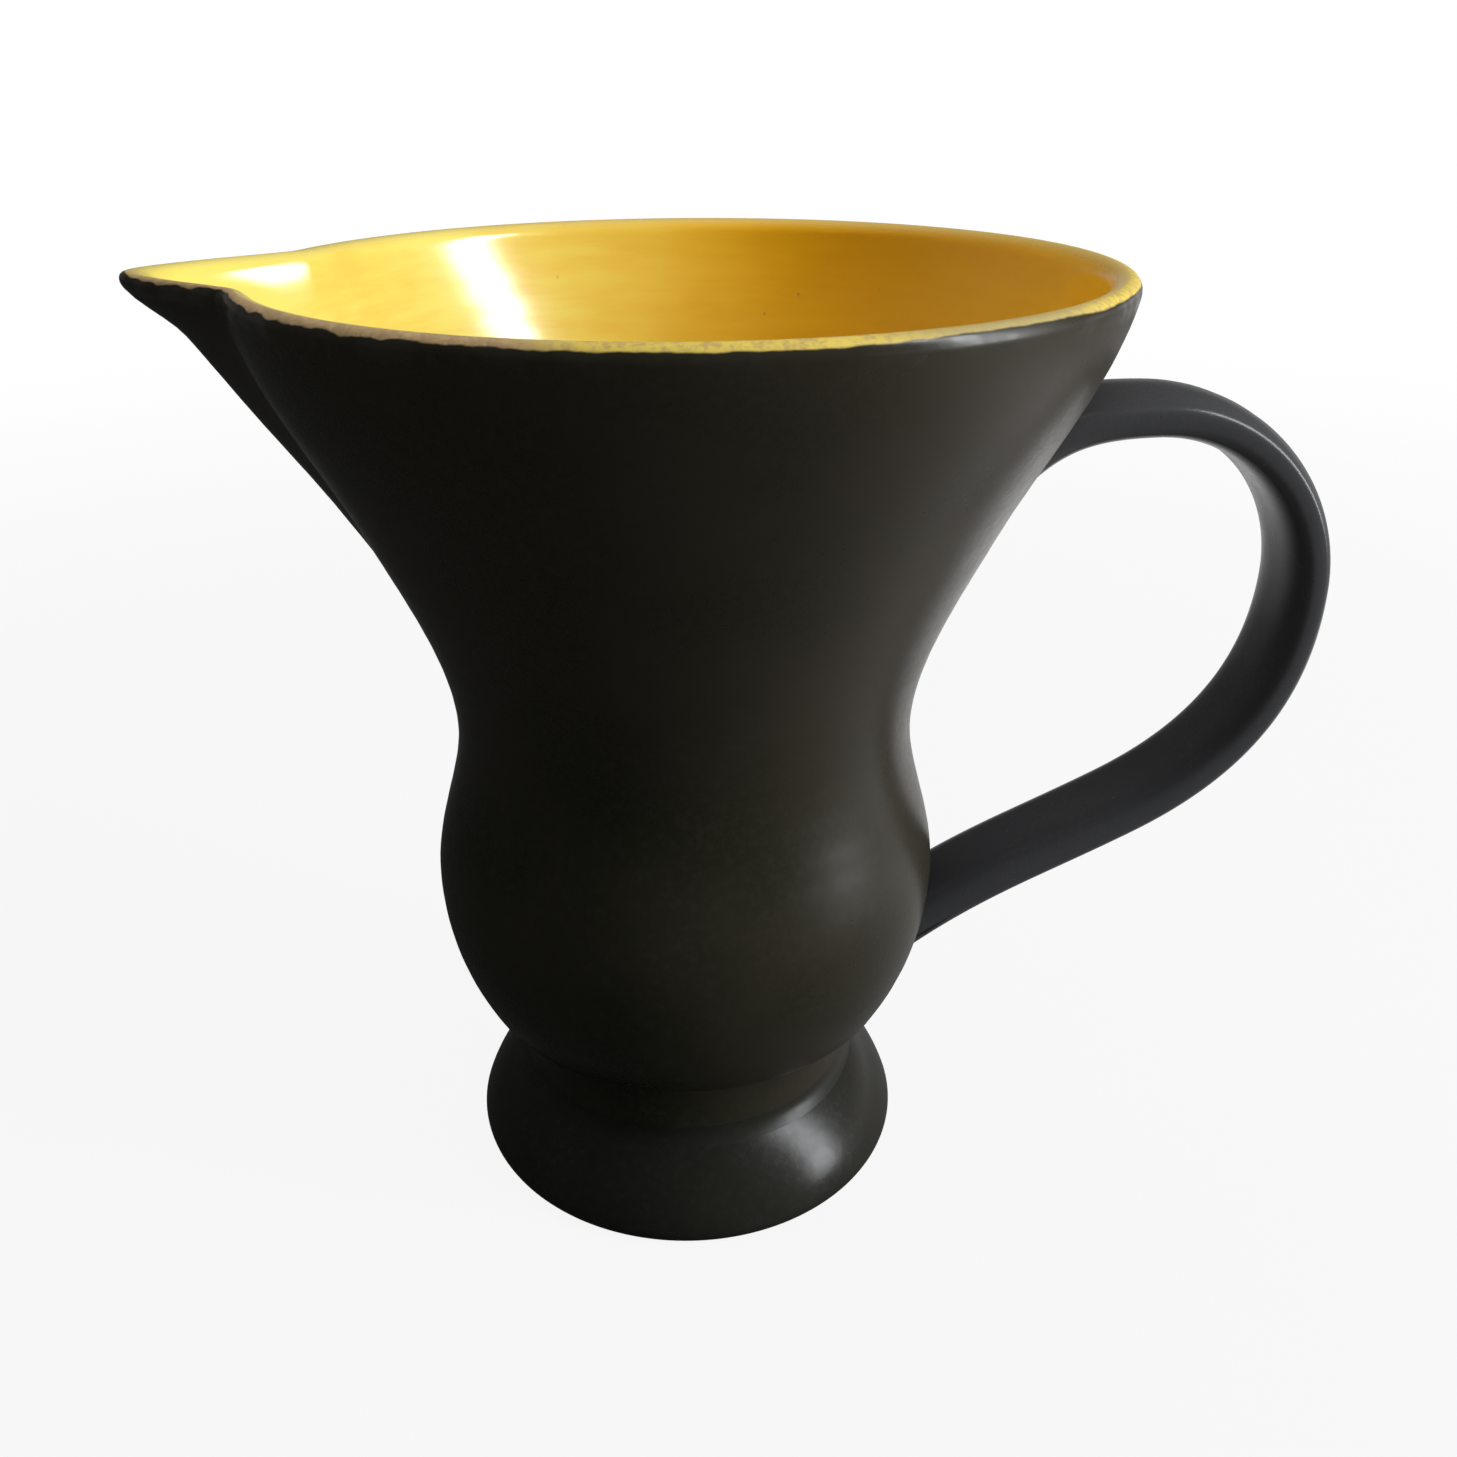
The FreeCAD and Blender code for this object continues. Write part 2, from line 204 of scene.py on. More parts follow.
# Black outside coat: satin, pitted, with browner clouds, and with painted light and shade: lighter towards
# the handle, the back and the flare, darker towards the beak and on the bulb.
# The lip reach is how far a point lies past the crest of the lip along the skin: more than 0 outside, less
# inside.
blackCoat = dict(
    deep=(0.0095, 0.0100, 0.0055),
    warm=(0.0310, 0.0260, 0.0180),
    # painted shade: the foot's and the slips' tones are a darker, bluer copy of the black coat
    footShadedDeep=(0.0085, 0.0090, 0.0066),
    footShadedWarm=(0.0210, 0.0195, 0.0160),
    # painted light: the strap's tones are a lighter, bluer copy of the black coat
    strapLitDeep=(0.0300, 0.0305, 0.0350),
    strapLitWarm=(0.0455, 0.0450, 0.0460),
    cloudSize=34 * mm,
    clay=(0.480, 0.325, 0.155),        # bare clay on the lip
    clayDark=(0.330, 0.220, 0.100),
    edgeYellow=(0.600, 0.450, 0.080),  # yellow that crept over the lip
    edgePale=(0.330, 0.265, 0.120),
    roughness=0.31,
    sheen=0.21,
    wetRoughness=0.12,
    cloudRange=(0.38, 0.66),
    fineSize=1.4 * mm,
    fineRange=(0.45, 0.75),
    pitSpacing=3.6 * mm,
    pitEdge=(0.03, 0.10),
    pitPatch=6 * mm,                   # pits gather in patches of this size
    patchRange=(0.56, 0.66),
    bumpStrength=0.35,
    bumpDepth=0.3 * mm,
    paintedLightAcross=(-20 * mm, 46 * mm),        # painted light and shade: darkest towards the beak, lighter towards the handle
    paintedLightBehind=1.6,                  # and painted lighter towards the back
    flare=(70 * mm, 125 * mm),         # painted light and shade: the flare lighter than the bulb
    cloudShare=0.20,
    paintedLightShare=0.50,
    flareShare=0.30,
    fineShare=0.25,
)


def blackCoatPaint(name, lip=False, gloss=0.0, restingRing=False, mottle=0.05, tone=("deep", "warm")):
    material, paint = newPaint(name)
    place = paint.place()
    coat = blackCoat
    deep, warm = (coat[key] for key in tone)
    clouds = paint.speckle(place, coat["cloudSize"], 3.0, 0.55).rise(*coat["cloudRange"])
    fine = paint.speckle(place, coat["fineSize"], 3.0, 0.6)
    behind = paint.part(place, 1).atLeast(0.0)
    # painted light and shade: the coat is lighter towards the handle and towards the back
    paintedSideLight = (paint.part(place, 0) + behind * coat["paintedLightBehind"]).rise(*coat["paintedLightAcross"])
    # painted light: the flare lighter, the bulb below it darker
    flared = paint.part(place, 2).rise(*coat["flare"])
    # random brown clouds, mixed with the painted light of the side and of the flare
    warmthAndLight = clouds * coat["cloudShare"] + paintedSideLight * coat["paintedLightShare"] + flared * coat["flareShare"]
    colour = paint.blend(warmthAndLight, deep, warm)
    colour = paint.blend(fine.rise(*coat["fineRange"]) * coat["fineShare"], colour, warm)
    dots = paint.node("ShaderNodeTexVoronoi", dict(), Vector=place, Scale=1 / coat["pitSpacing"])
    sparse = paint.speckle(place, coat["pitPatch"]).rise(*coat["patchRange"])
    pits = (1 - dots.rise(*coat["pitEdge"])) * sparse
    rough = coat["roughness"] - gloss + (fine - 0.5) * 0.16 + (clouds - 0.5) * 0.06 - pits * 0.15
    height = fine * mottle - pits * 0.35
    wet = 0.0
    if lip:
        reach = paint.attribute("lipReach")
        colour, rough, wet = lipWear(paint, place, reach, colour, rough)
    if restingRing:
        colour, rough = ringWear(paint, place, colour, rough)
    paint.fire(coat, colour, rough, wet, height, Specular_IOR_Level=coat["sheen"])
    return material


# Wear along the lip. Places are measured across the jug, those of near towards its back.
lipEdge = dict(
    raggedSize=4.6 * mm,
    raggedReach=2.6 * mm,              # how far the noise moves the black edge
    coarseSize=12 * mm,
    coarseReach=3.0 * mm,
    near=(-12 * mm, 4 * mm),           # where the near side ends
    nearLean=0.3,                      # it reaches further back towards the handle
    leftEnd=(-24 * mm, -15 * mm),
    rightStart=(14 * mm, 34 * mm),
    rightEnd=(44 * mm, 58 * mm),
    beakRoot=(-68 * mm, -58 * mm),
    farPatch=16 * mm,                  # worn patches on the far side
    farRange=(0.52, 0.60),
    blackStart=0.4 * mm,               # the black starts this far past the crest
    wornBand=1.6 * mm,                 # and further where clay shows or yellow crept over
    creptBand=1.6 * mm,
    rightPull=0.4 * mm,
    beakPullShare=0.45,
    soft=(-0.18 * mm, 0.22 * mm),
    gritSize=1.1 * mm,
    clayRange=(0.35, 0.75),
    thinRange=(0.42, 0.64),
    glossStart=0.5 * mm,               # the gloss beside the black edge
    glossEnd=(1.5 * mm, 4 * mm),
    fleckSize=5 * mm,
    fleckRange=(0.40, 0.60),
)


def lipWear(paint, place, reach, colour, rough):
    # yellow, then a band of bare clay at the left of the near side, then a ragged black edge
    edge = lipEdge
    across = paint.part(place, 0)
    leant = paint.part(place, 1) - across.atLeast(0.0) * edge["nearLean"]
    ragged = (paint.speckle(place, edge["raggedSize"], 2.5, 0.5) - 0.5) * edge["raggedReach"]
    coarse = (paint.speckle(place, edge["coarseSize"], 2.0, 0.5) - 0.5) * edge["coarseReach"]
    near = 1 - leant.rise(*edge["near"])
    leftNear = near * (1 - across.rise(*edge["leftEnd"]))
    rightNear = near * across.rise(*edge["rightStart"]) * (1 - across.rise(*edge["rightEnd"]))
    onBeak = 1 - across.rise(*edge["beakRoot"])
    farWorn = (1 - near) * paint.speckle(place, edge["farPatch"]).rise(*edge["farRange"])
    worn = leftNear.atLeast(farWorn)
    crept = near - leftNear                          # yellow ran over the lip here
    blackEdge = edge["blackStart"] + worn * (1 - edge["beakPullShare"] * onBeak) * edge["wornBand"]
    blackEdge = blackEdge + crept * edge["creptBand"] - rightNear * edge["rightPull"]
    blackEdge = blackEdge + ragged * (0.30 + 0.50 * worn) + coarse * 0.6 * worn
    past = reach - blackEdge
    bare = 1 - past.rise(*edge["soft"])
    grit = paint.speckle(place, edge["gritSize"], 3.0, 0.7)
    clay = paint.blend(grit.rise(*edge["clayRange"]), blackCoat["clayDark"], blackCoat["clay"])
    thin = grit.rise(*edge["thinRange"]) * 0.6
    thin = paint.blend(thin, blackCoat["edgeYellow"], blackCoat["clayDark"])
    thin = paint.blend(rightNear * 0.8, thin, blackCoat["edgePale"])
    shown = paint.blend(worn, thin, clay)
    colour = paint.blend(bare, colour, shown)
    glossyEdge = past.rise(0.0, edge["glossStart"]) * (1 - past.rise(*edge["glossEnd"]))
    rough = rough - glossyEdge * (1 - rightNear) * 0.16
    rough = rough * (1 - bare) + bare * (0.40 + 0.20 * worn)
    flecks = paint.speckle(place, edge["fleckSize"], 2.0, 0.5).rise(*edge["fleckRange"])
    return colour, rough, glossyEdge * flecks * (1 - bare) * (1 - 0.85 * rightNear)


# The ring that the jug rests on is wiped bare up to an uneven height
wipedRing = dict(
    height=0.5 * mm,
    unevenSize=3 * mm,
    unevenReach=1.0 * mm,
    soft=(-0.1 * mm, 0.2 * mm),
    gritSize=1.0 * mm,
)


def ringWear(paint, place, colour, rough):
    ring = wipedRing
    uneven = (paint.speckle(place, ring["unevenSize"], 3.0, 0.6) - 0.5) * ring["unevenReach"]
    bare = 1 - (paint.part(place, 2) - (ring["height"] + uneven)).rise(*ring["soft"])
    grit = paint.speckle(place, ring["gritSize"], 3.0, 0.7)
    clay = paint.blend(grit, blackCoat["clayDark"], blackCoat["clay"])
    return paint.blend(bare, colour, clay), rough * (1 - bare) + bare * 0.7


# Yellow inside glaze: glossy, paler where it breaks over the lip, with iron specks
yellowCoat = dict(
    # painted light and shade: a lit lemon and a shaded amber of the same glaze
    litLemon=(0.725, 0.620, 0.125),
    shadedAmber=(0.780, 0.400, 0.003),
    deep=(0.680, 0.320, 0.002),
    pale=(0.580, 0.440, 0.130),
    speck=(0.190, 0.070, 0.008),
    cloudSize=26 * mm,
    roughness=0.20,
    wetCoat=0.4,
    wetRoughness=0.12,
    flattened=(1.0, 1.0, 7.0),         # the thrower's bands run round the wall
    streakSize=20 * mm,
    streakShare=0.45,
    depthRange=(0.38, 0.66),
    paintedShadeAcross=(-44 * mm, 30 * mm),       # painted light and shade: lemon on the lit side towards the beak, amber in the shade towards the handle
    deepShare=0.40,
    speckSpacing=7.5 * mm,
    speckEdge=(0.035, 0.085),
    speckPatch=9 * mm,
    patchRange=(0.55, 0.60),
    speckShare=0.8,
    gritSize=1.2 * mm,
    gritReach=0.8 * mm,
    overLip=(-3.4 * mm, -0.6 * mm),    # it pales over this stretch below the crest
    paleShare=0.70,
    waveSize=9 * mm,
    bumpStrength=0.25,
    bumpDepth=0.4 * mm,
)


def yellowCoatPaint(name, lip=False):
    material, paint = newPaint(name)
    place = paint.place()
    coat = yellowCoat
    bands = paint.stretched(place, coat["flattened"])
    clouds = paint.speckle(place, coat["cloudSize"], 3.0, 0.55)
    streaks = paint.speckle(bands, coat["streakSize"], 4.0, 0.6)
    share = coat["streakShare"]
    depth = (clouds * (1 - share) + streaks * share).rise(*coat["depthRange"])
    # painted light and shade: lemon where lit, towards the beak, amber where shaded, towards the handle
    paintedShadeTowardsHandle = paint.part(place, 0).rise(*coat["paintedShadeAcross"])
    colour = paint.blend(paintedShadeTowardsHandle, coat["litLemon"], coat["shadedAmber"])
    colour = paint.blend(depth * coat["deepShare"], colour, coat["deep"])
    dots = paint.node("ShaderNodeTexVoronoi", dict(), Vector=place, Scale=1 / coat["speckSpacing"])
    wide = paint.speckle(place, coat["speckPatch"]).rise(*coat["patchRange"])
    specks = (1 - dots.rise(*coat["speckEdge"])) * wide
    colour = paint.blend(specks * coat["speckShare"], colour, coat["speck"])
    rough = coat["roughness"] + (streaks - 0.5) * 0.06 + specks * 0.2
    if lip:
        reach = paint.attribute("lipReach")
        grit = paint.speckle(place, coat["gritSize"], 3.0, 0.7)
        edge = (grit - 0.5) * coat["gritReach"]
        overLip = (reach + edge).rise(*coat["overLip"])
        colour = paint.blend(overLip * coat["paleShare"], colour, coat["pale"])
        rough = rough + overLip * 0.16
    height = paint.speckle(bands, coat["waveSize"], 2.0, 0.5) * 0.5 - specks * 0.3
    paint.fire(coat, colour, rough, coat["wetCoat"], height)
    return material


# painted shade: the foot and the slips wear a darker, bluer copy of the black coat
footShadedTone = ("footShadedDeep", "footShadedWarm")
# painted light: the handle wears a lighter, bluer copy of the black coat
strapLitTone = ("strapLitDeep", "strapLitWarm")
coats = dict(
    blackWall=blackCoatPaint("blackWall"),
    blackLip=blackCoatPaint("blackLip", lip=True),
    blackFoot=blackCoatPaint("blackFoot", gloss=0.07, restingRing=True, mottle=0.16, tone=footShadedTone),
    blackSlip=blackCoatPaint("blackSlip", tone=footShadedTone),
    blackHandle=blackCoatPaint("blackHandle", gloss=0.05, mottle=0.09, tone=strapLitTone),
    yellowBowl=yellowCoatPaint("yellowBowl"),
    yellowLip=yellowCoatPaint("yellowLip", lip=True),
)
print("finishes made:", len(coats))


# Outline of the turned wall: height, radius and the radius gained per height. The ends and
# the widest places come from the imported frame.
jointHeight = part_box("bowl")[0].z
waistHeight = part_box("bowl")[1].z
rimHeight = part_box("flared_mouth")[1].z
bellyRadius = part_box("bowl")[1].y
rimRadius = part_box("flared_mouth")[1].y
spoutTip = -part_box("pouring_spout")[0].x
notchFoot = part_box("pouring_spout")[0].z
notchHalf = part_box("pouring_spout")[1].y

wall = dict(
    thickness=4.3 * mm,
    glaze=0.5 * mm,
    lipHeight=2.6 * mm,
    neckRise=10.2 * mm,
    neckRadius=31.3 * mm,
    jointRadius=31.9 * mm,
    shoulderRise=17.7 * mm,
    shoulderRadius=40.4 * mm,
    shoulderSlope=0.55,
    bellyRise=43.1 * mm,
    waistRadius=41.5 * mm,
    flareRise=40.3 * mm,
    flareRadius=54.95 * mm,
    flareSlope=0.465,
    rimSlope=0.19,
    floorThickness=6.6 * mm,
    floorRadius=21 * mm,
    rowStep=1.5 * mm,
    neckRowStep=0.6 * mm,
    lipRows=8,
    dishRows=14,
    floorRows=14,
    underRows=5,
    throwingDepth=0.05 * mm,      # how far the thrower's rings stand out inside
    throwingOutside=0.3,          # and the share of that outside
    throwingPitch=5.4 * mm,
    throwingFade=12 * mm,         # they fade over this height below the lip
    floorRingDepth=3,             # rings on the floor are this many times as deep
    floorRingTurns=5,             # half waves from the floor's middle to its edge
    floorRingEnd=0.95,
    wander=0.14 * mm,             # how far the thrown wall strays from round
    wanderInset=0.003 * mm,       # keeps the straying wall inside the solids' box
    ovalShare=0.6,                # it strays as an oval, and for the rest in three lobes
    ovalTurn=0.7,
    lobeTurn=2.1,
    lobeTwist=60 * mm,
)
lipFoot = rimHeight - wall["lipHeight"]
glazeDepth = wall["thickness"] + wall["glaze"]
crestDepth = glazeDepth / 2
sameHeight = mm / 10              # heights closer than this count as one
stations = [
    (jointHeight, wall["jointRadius"], 0),
    (jointHeight + wall["neckRise"], wall["neckRadius"], 0),
    (jointHeight + wall["shoulderRise"], wall["shoulderRadius"], wall["shoulderSlope"]),
    (jointHeight + wall["bellyRise"], bellyRadius, 0),
    (waistHeight, wall["waistRadius"], 0),
    (waistHeight + wall["flareRise"], wall["flareRadius"], wall["flareSlope"]),
    (lipFoot, rimRadius, wall["rimSlope"]),
]


def smoothThrough(places, height):
    # value and slope of the smooth line through stations; straight on past its ends
    value = np.where(height < places[0][0],
                     places[0][1] + places[0][2] * (height - places[0][0]),
                     places[-1][1] + places[-1][2] * (height - places[-1][0]))
    slope = np.where(height < places[0][0], float(places[0][2]), float(places[-1][2]))
    for (z0, v0, s0), (z1, v1, s1) in zip(places, places[1:]):
        span = z1 - z0
        t = (height - z0) / span
        here = (t >= 0) & (t <= 1)
        along = ((2 * t**3 - 3 * t**2 + 1) * v0 + (t**3 - 2 * t**2 + t) * span * s0
                 + (3 * t**2 - 2 * t**3) * v1 + (t**3 - t**2) * span * s1)
        lean = ((6 * t**2 - 6 * t) * v0 / span + (3 * t**2 - 4 * t + 1) * s0
                + (6 * t - 6 * t**2) * v1 / span + (3 * t**2 - 2 * t) * s1)
        value = np.where(here, along, value)
        slope = np.where(here, lean, slope)
    return value, slope


def smoothStep(value, low, high):
    t = np.clip((value - low) / (high - low), 0, 1)
    return t * t * (3 - 2 * t)


def unit(vectors):
    return vectors / np.maximum(np.linalg.norm(vectors, axis=-1, keepdims=True), 1e-12)


def bezierPoint(a, b, c, d, t):
    return a * (1 - t)**3 + 3 * b * t * (1 - t)**2 + 3 * c * t**2 * (1 - t) + d * t**3


# The beak: its keel stands proud of the round wall by these amounts
beak = dict(
    notchFootHalf=4.0 * mm,
    slip=0.6 * mm,
    tipDrop=1.2 * mm,
    depth=8.9 * mm,
    midDrop=22 * mm,
    footProud=0.3 * mm,
    midProud=8.0 * mm,
    throatProud=10.9 * mm,
    noseWall=1.25,            # the wall at the nose against the wall elsewhere
    noseBlunt=0.6,            # how far the crest at the nose lies towards the front; 0 is midway
    noseRound=0.28,
    noseInset=0.3 * mm,       # keeps the blunt nose from standing past the tip
    throatPull=0.36,
    throatTurn=1.35,
    footSlopeShare=0.5,       # how steep the keel is at its foot and at its throat
    throatSlopeShare=1.5,
    fade=9 * mm,              # the beak grows out of the wall over this height
    soften=5.0 * mm,          # the crease beside the beak is rounded over this width
    softenRise=3,             # and from its foot up over this many fades
    softenStep=0.5,
    softenPasses=60,
    roundColumns=176,
    crowding=0.72,            # how far those columns crowd beside the beak; 0 is even
    sideColumns=22,
)


def keelProud(height):
    mid = rimHeight - beak["midDrop"]
    throat = rimHeight - beak["tipDrop"] - beak["depth"]
    footSlope = (beak["midProud"] - beak["footProud"]) / (mid - notchFoot)
    throatSlope = (beak["throatProud"] - beak["midProud"]) / (throat - mid)
    proud = smoothThrough([
        (notchFoot, beak["footProud"], footSlope * beak["footSlopeShare"]),
        (mid, beak["midProud"], footSlope),
        (throat, beak["throatProud"], throatSlope * beak["throatSlopeShare"]),
        (rimHeight - beak["tipDrop"], spoutTip - rimRadius - beak["noseInset"], 0),
    ], height)[0]
    return np.maximum(proud, 0)


def ringColumns():
    # shares round the wall away from the beak, closer together beside it
    steps = np.linspace(0, 1, beak["roundColumns"] + 1)
    return steps - np.sin(2 * math.pi * steps) / (2 * math.pi) * beak["crowding"]


def wallRing(height, depth):
    # one level ring of the wall per height, at a depth inward from its outside
    height = height[:, None]
    depth = depth[:, None]
    radius, slope = smoothThrough(stations, height)
    outer = radius
    radius = radius - depth * np.hypot(1, slope)
    widening = (notchHalf - beak["notchFootHalf"]) / (rimHeight - notchFoot)
    half = beak["notchFootHalf"] + widening * np.maximum(height - notchFoot, 0)
    start = np.arcsin((half + beak["slip"]) / radius)
    throatAngle = np.arcsin(half / radius)
    around = start + (2 * math.pi - 2 * start) * ringColumns()[None, :]
    roundXY = np.stack([-radius * np.cos(around), radius * np.sin(around)], -1)
    steps = np.linspace(0, 1, beak["sideColumns"] + 1)
    t = (1 - np.cos(math.pi * steps)) / 2
    throat = np.stack([-radius * np.cos(throatAngle), radius * np.sin(throatAngle)], -1)
    blunt = (depth / glazeDepth)**beak["noseBlunt"]
    noseX = -outer - keelProud(height) + depth * blunt * beak["noseWall"]
    nose = np.stack([noseX, 0 * noseX], -1)
    along = unit(np.stack([-throat[..., 1], throat[..., 0]], -1))
    towards = nose - throat
    length = np.linalg.norm(towards, axis=-1, keepdims=True)
    leave = unit(along * (1 - beak["throatTurn"]) + towards / length * beak["throatTurn"])
    throatPole = throat + leave * length * beak["throatPull"]
    nosePole = nose + np.stack([0 * noseX, half * beak["noseRound"]], -1)
    side = bezierPoint(throat, throatPole, nosePole, nose, t[None, :, None])
    plainAngle = throatAngle * (1 - t)[None, :]
    plain = np.stack([-radius * np.cos(plainAngle), radius * np.sin(plainAngle)], -1)
    grown = smoothStep(height, notchFoot - beak["fade"], notchFoot + beak["fade"])[..., None]
    side = plain + (side - plain) * grown
    left = side * np.array([1.0, -1.0])
    ring = np.concatenate([roundXY, left[:, :-1], side[:, ::-1]], 1)
    return softened(ring, height, half)


def softened(ring, height, half):
    # rounds the crease where the beak leaves the wall, moving points only square to the ring
    reach = np.abs(np.abs(ring[..., 1]) - half) / beak["soften"]
    share = np.clip(1 - reach, 0, 1) * (ring[..., 0] < 0)
    share = share * smoothStep(height, notchFoot, notchFoot + beak["softenRise"] * beak["fade"])
    for _ in range(beak["softenPasses"]):
        before = np.roll(ring, 1, 1)
        after = np.roll(ring, -1, 1)
        back = np.linalg.norm(ring - before, axis=-1, keepdims=True)
        forth = np.linalg.norm(after - ring, axis=-1, keepdims=True)
        line = (before * forth + after * back) / (back + forth)
        ring = ring + (line - ring) * (beak["softenStep"] * share[..., None])
    return ring


def gridOf(height, depth, rings=0.0):
    # a grid of points, one row per height; rings is how deep the thrower's rings show
    flat = wallRing(height, depth)
    angle = np.arctan2(flat[..., 1], flat[..., 0])
    radius = np.linalg.norm(flat, axis=-1)
    oval = np.sin(2 * angle + wall["ovalTurn"]) * wall["ovalShare"]
    lobes = np.sin(3 * angle + wall["lobeTurn"] + height[:, None] / wall["lobeTwist"])
    stray = wall["wander"] * (oval + lobes * (1 - wall["ovalShare"]))
    turns = height[:, None] / wall["throwingPitch"] + angle / (2 * math.pi)
    shown = smoothStep(-height, -lipFoot, -lipFoot + wall["throwingFade"])[:, None]
    ringing = rings * np.sin(2 * math.pi * turns) * shown
    grown = (radius + stray + ringing - wall["wanderInset"]) / radius
    flat = flat * grown[..., None]
    return np.concatenate([flat, np.broadcast_to(height[:, None, None], flat.shape[:2] + (1,))], -1)


def scaledRing(directions, radii, heights):
    # round rows inside the bowl, which keep the columns of the row above them
    flat = directions[None, :, :] * radii[:, None, None]
    return np.concatenate([flat, np.broadcast_to(heights[:, None, None], flat.shape[:2] + (1,))], -1)


def wallRows(low, high):
    # heights of the rows between two heights; a row stands at each seam
    neckHeight, shoulderHeight = stations[1][0], stations[2][0]
    seams = (jointHeight, neckHeight, shoulderHeight, waistHeight,
             notchFoot - beak["slip"], notchFoot, lipFoot)
    marks = [mark for mark in seams if low <= mark <= high]
    rows = [marks[0]]
    for start, end in zip(marks, marks[1:]):
        spacing = wall["neckRowStep"] if end <= shoulderHeight else wall["rowStep"]
        count = max(1, round((end - start) / spacing))
        rows += [start + (end - start) * step / count for step in range(1, count + 1)]
    return np.array(rows)


def lipRows(fullDepth, top):
    # the half of the lip from a wall face up to the crest
    turn = np.linspace(0, math.pi / 2, wall["lipRows"] + 1)[1:]
    depth = fullDepth + (crestDepth - fullDepth) * (1 - np.cos(turn))
    return lipFoot + (top - lipFoot) * np.sin(turn), depth


def faceGrid(heights, fullDepth, top, rings):
    # one face of the wall with its half of the lip, from its lowest row to the crest
    lipHeights, lipDepths = lipRows(fullDepth, top)
    allHeights = np.concatenate([heights, lipHeights])
    depths = np.concatenate([0 * heights + fullDepth, lipDepths])
    return gridOf(allHeights, depths, rings)


def dishGrid(shoulderRow, floorHeight):
    # the bowl's inside below the shoulder: the dish, the floor and its middle point
    radii = np.linalg.norm(shoulderRow[:, :2], axis=-1)
    directions = shoulderRow[:, :2] / radii[:, None]
    shoulderR = radii.mean()
    shoulderZ, _, slope = stations[2]
    floorR = wall["floorRadius"]
    pull = (shoulderR - floorR) / 2
    drop = (shoulderZ - floorHeight) / 2
    t = np.linspace(0, 1, wall["dishRows"] + 1)[1:]
    r = bezierPoint(shoulderR, shoulderR - slope * drop, floorR + pull, floorR, t)
    z = bezierPoint(shoulderZ, shoulderZ - drop, floorHeight, floorHeight, t)
    flatR = floorR * np.linspace(1, 0, wall["floorRows"] + 1)[1:]
    waves = np.cos(flatR / floorR * math.pi * wall["floorRingTurns"])
    rise = wall["throwingDepth"] * wall["floorRingDepth"] * waves * (flatR < floorR * wall["floorRingEnd"])
    return scaledRing(directions, np.concatenate([r, flatR]), np.concatenate([z, floorHeight + rise]))


def normalsOf(grid):
    # normals of a grid whose rows close round, on the side that shows
    along = np.roll(grid, -1, 1) - np.roll(grid, 1, 1)
    normal = np.cross(np.gradient(grid, axis=0), along)
    length = np.linalg.norm(normal, axis=-1, keepdims=True)
    return np.where(length > 1e-14, normal / np.maximum(length, 1e-14), up)


def addPiece(name, mesh, coat, node):
    piece = addObject(name, mesh)
    mesh.materials.append(coats[coat])
    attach(piece, "root")
    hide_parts(node)
    print("built", name, "with", len(mesh.polygons), "faces")


def shellPiece(name, front, back, normals, mask, coat, slot, node, reach=None, closedRow=None):
    # a closed shell over the marked cells of a grid: front, back and the edges between
    rows, columns = front.shape[:2]
    count = rows * columns
    index = np.arange(count).reshape(rows, columns)
    if closedRow is not None:
        index[closedRow, :] = index[closedRow, 0]
    beside = np.roll(index, -1, 1)
    fronts, backs, edges = [], [], []
    for i, j in np.argwhere(mask):
        corners = [index[i, j], index[i + 1, j], beside[i + 1, j], beside[i, j]]
        fronts.append(corners)
        backs.append([count + v for v in reversed(corners)])
        besides = [(i, j - 1), (i + 1, j), (i, (j + 1) % columns), (i - 1, j)]
        for side, (row, column) in enumerate(besides):
            if 0 <= row < rows - 1 and mask[row, column]:
                continue
            a, b = corners[side], corners[(side + 1) % 4]
            edges.append([b, a, a + count, b + count])
    faces = [list(dict.fromkeys(int(v) for v in face)) for face in fronts + backs + edges]
    faces = [face for face in faces if len(face) > 2]
    used = sorted({v for face in faces for v in face})
    renumber = {old: new for new, old in enumerate(used)}
    points = np.concatenate([front.reshape(-1, 3), back.reshape(-1, 3)])
    mesh = bpy.data.meshes.new(name)
    mesh.from_pydata(points[used].tolist(), [], [[renumber[v] for v in face] for face in faces])
    mesh.shade_smooth()
    flat = normals.reshape(-1, 3)
    loopNormals = []
    for number, polygon in enumerate(mesh.polygons):
        for vertex in polygon.vertices:
            loopNormals.append(flat[used[vertex]] if number < len(fronts) else polygon.normal)
    mesh.normals_split_custom_set(loopNormals)
    if reach is not None:
        both = np.concatenate([reach.reshape(-1), reach.reshape(-1)])
        layer = mesh.attributes.new("lipReach", "FLOAT", "POINT")
        layer.data.foreach_set("value", both[used].astype(np.float32))
    addPiece(name, mesh, coat, node)


# The whole visible skin: up the outside, over the lip, down the inside and over the floor
outsideRows = wallRows(jointHeight, lipFoot)
insideRows = wallRows(stations[2][0], lipFoot)
floorTop = jointHeight + wall["floorThickness"]
outside = faceGrid(outsideRows, 0, rimHeight, wall["throwingDepth"] * wall["throwingOutside"])
inside = faceGrid(insideRows, glazeDepth, rimHeight, wall["throwingDepth"])[::-1]
inside = np.concatenate([inside, dishGrid(inside[-1], floorTop + wall["glaze"])])
clayInside = faceGrid(insideRows, wall["thickness"], rimHeight - wall["glaze"], 0)[::-1]
clayInside = np.concatenate([clayInside, dishGrid(clayInside[-1], floorTop)])
skin = np.concatenate([outside, inside[1:]])
skinNormals = normalsOf(skin)
outsideNormals = skinNormals[:len(outside)]
insideNormals = skinNormals[len(outside) - 1:]
steps = np.linalg.norm(np.diff(skin, axis=0), axis=-1)
walked = np.concatenate([0 * steps[:1], np.cumsum(steps, 0)])
skinReach = walked[len(outside) - 1] - walked
